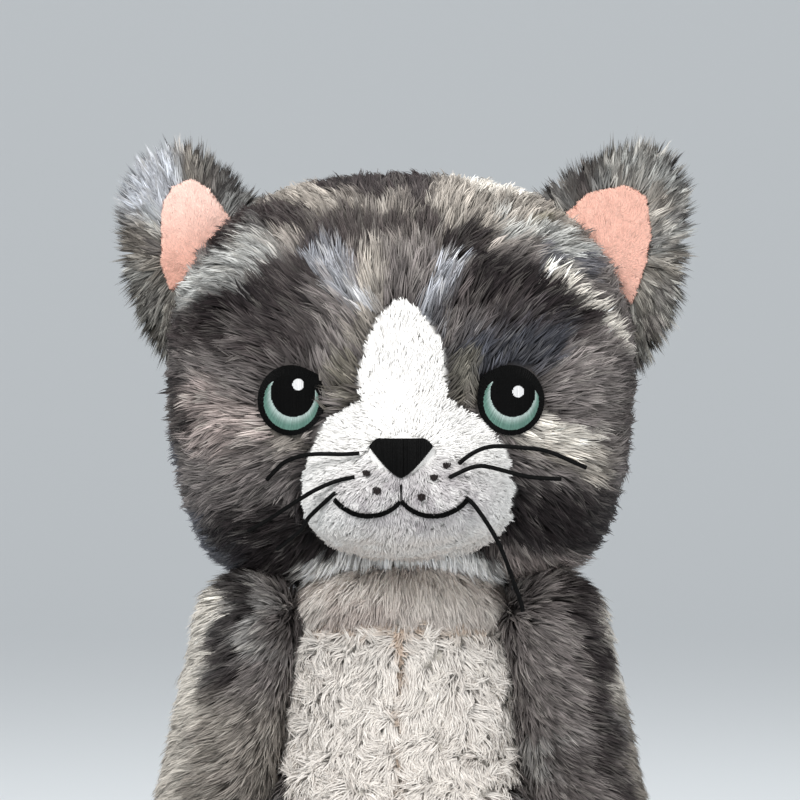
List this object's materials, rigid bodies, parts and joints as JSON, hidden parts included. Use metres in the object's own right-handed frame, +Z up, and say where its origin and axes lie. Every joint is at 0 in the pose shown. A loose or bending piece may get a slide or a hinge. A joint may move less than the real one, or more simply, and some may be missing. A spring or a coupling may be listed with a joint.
{
  "type": "plush cat",
  "caption": "Seated plush cat with a large round head, embroidered face, folding ears, hanging front legs, hind legs stretched forward and a tail.",
  "frame": {"origin": "centre of the flat seat panel, on the surface that the cat sits on", "axes": "+Z up, the face looks towards -Y, +X is on the right when looking at the face"},
  "size_m": [0.178, 0.2245, 0.2655],
  "materials": {
    "grey_fur": "matte",
    "dark_fur": "matte",
    "white_plush": "matte",
    "cream_shag": "matte",
    "pink_plush": "matte",
    "black_thread": "satin",
    "iris_thread": "satin",
    "white_thread": "satin",
    "whisker_cord": "satin",
    "stuffing": "matte"
  },
  "bodies": {
    "torso": {"chest_yoke": "cream_shag", "belly_panel": "cream_shag", "flank_left": "grey_fur", "flank_right": "grey_fur", "seat_panel": "grey_fur", "torso_stuffing": "stuffing"},
    "neck": {"neck_stuffing": "stuffing"},
    "head": {"face_left": "grey_fur", "face_right": "grey_fur", "head_back": "grey_fur", "muzzle_panel": "white_plush", "head_stuffing": "stuffing", "muzzle_stuffing": "stuffing", "nose": "black_thread", "mouth_stitches": "black_thread", "freckle_stitches": "black_thread", "eye_left_outline": "black_thread", "eye_left_iris": "iris_thread", "eye_left_pupil": "black_thread", "eye_left_glint": "white_thread", "eye_right_outline": "black_thread", "eye_right_iris": "iris_thread", "eye_right_pupil": "black_thread", "eye_right_glint": "white_thread", "whisker_left_upper": "whisker_cord", "whisker_left_middle": "whisker_cord", "whisker_left_lower": "whisker_cord", "whisker_right_upper": "whisker_cord", "whisker_right_middle": "whisker_cord", "whisker_right_lower": "whisker_cord"},
    "ear_left": {"ear_left_back": "grey_fur", "ear_left_lining": "pink_plush"},
    "ear_right": {"ear_right_back": "grey_fur", "ear_right_lining": "pink_plush"},
    "arm_left": {"arm_left_sleeve": "grey_fur", "arm_left_paw": "white_plush", "arm_left_stuffing": "stuffing"},
    "arm_right": {"arm_right_sleeve": "grey_fur", "arm_right_paw": "white_plush", "arm_right_stuffing": "stuffing"},
    "leg_left": {"leg_left_skin": "grey_fur", "leg_left_foot": "white_plush", "leg_left_stuffing": "stuffing"},
    "leg_right": {"leg_right_skin": "grey_fur", "leg_right_foot": "white_plush", "leg_right_stuffing": "stuffing"},
    "tail": {"tail_skin": "grey_fur", "tail_tip": "dark_fur", "tail_stuffing": "stuffing"}
  },
  "joints": [
    {"name": "head_nod", "type": "hinge", "parent": "torso", "child": "neck", "pos_m": [0, 0, 0.128], "axis": [1, 0, 0], "range_deg": [-12, 12]},
    {"name": "head_turn", "type": "hinge", "parent": "neck", "child": "head", "pos_m": [0, 0, 0.128], "axis": [0, 0, 1], "range_deg": [-30, 30]},
    {"name": "ear_left_fold", "type": "hinge", "parent": "head", "child": "ear_left", "pos_m": [-0.0705, 0.0045, 0.237], "axis": [-0.6, 0, -0.8], "range_deg": [-25, 25], "stiffness_Nm_per_rad": 0.01},
    {"name": "ear_right_fold", "type": "hinge", "parent": "head", "child": "ear_right", "pos_m": [0.0705, 0.0045, 0.237], "axis": [-0.6, 0, 0.8], "range_deg": [-25, 25], "stiffness_Nm_per_rad": 0.01},
    {"name": "arm_left_swing", "type": "hinge", "parent": "torso", "child": "arm_left", "pos_m": [-0.05, -0.016, 0.11], "axis": [-1, 0, 0], "range_deg": [-8, 50]},
    {"name": "arm_right_swing", "type": "hinge", "parent": "torso", "child": "arm_right", "pos_m": [0.05, -0.016, 0.11], "axis": [-1, 0, 0], "range_deg": [-8, 50]},
    {"name": "leg_left_lift", "type": "hinge", "parent": "torso", "child": "leg_left", "pos_m": [-0.0295, -0.046, 0.0175], "axis": [-1, 0, 0], "range_deg": [0, 40]},
    {"name": "leg_right_lift", "type": "hinge", "parent": "torso", "child": "leg_right", "pos_m": [0.0295, -0.046, 0.0175], "axis": [-1, 0, 0], "range_deg": [0, 40]},
    {"name": "tail_swing", "type": "hinge", "parent": "torso", "child": "tail", "pos_m": [0, 0.0485, 0.01], "axis": [0, 0, 1], "range_deg": [-20, 30]}
  ]
}
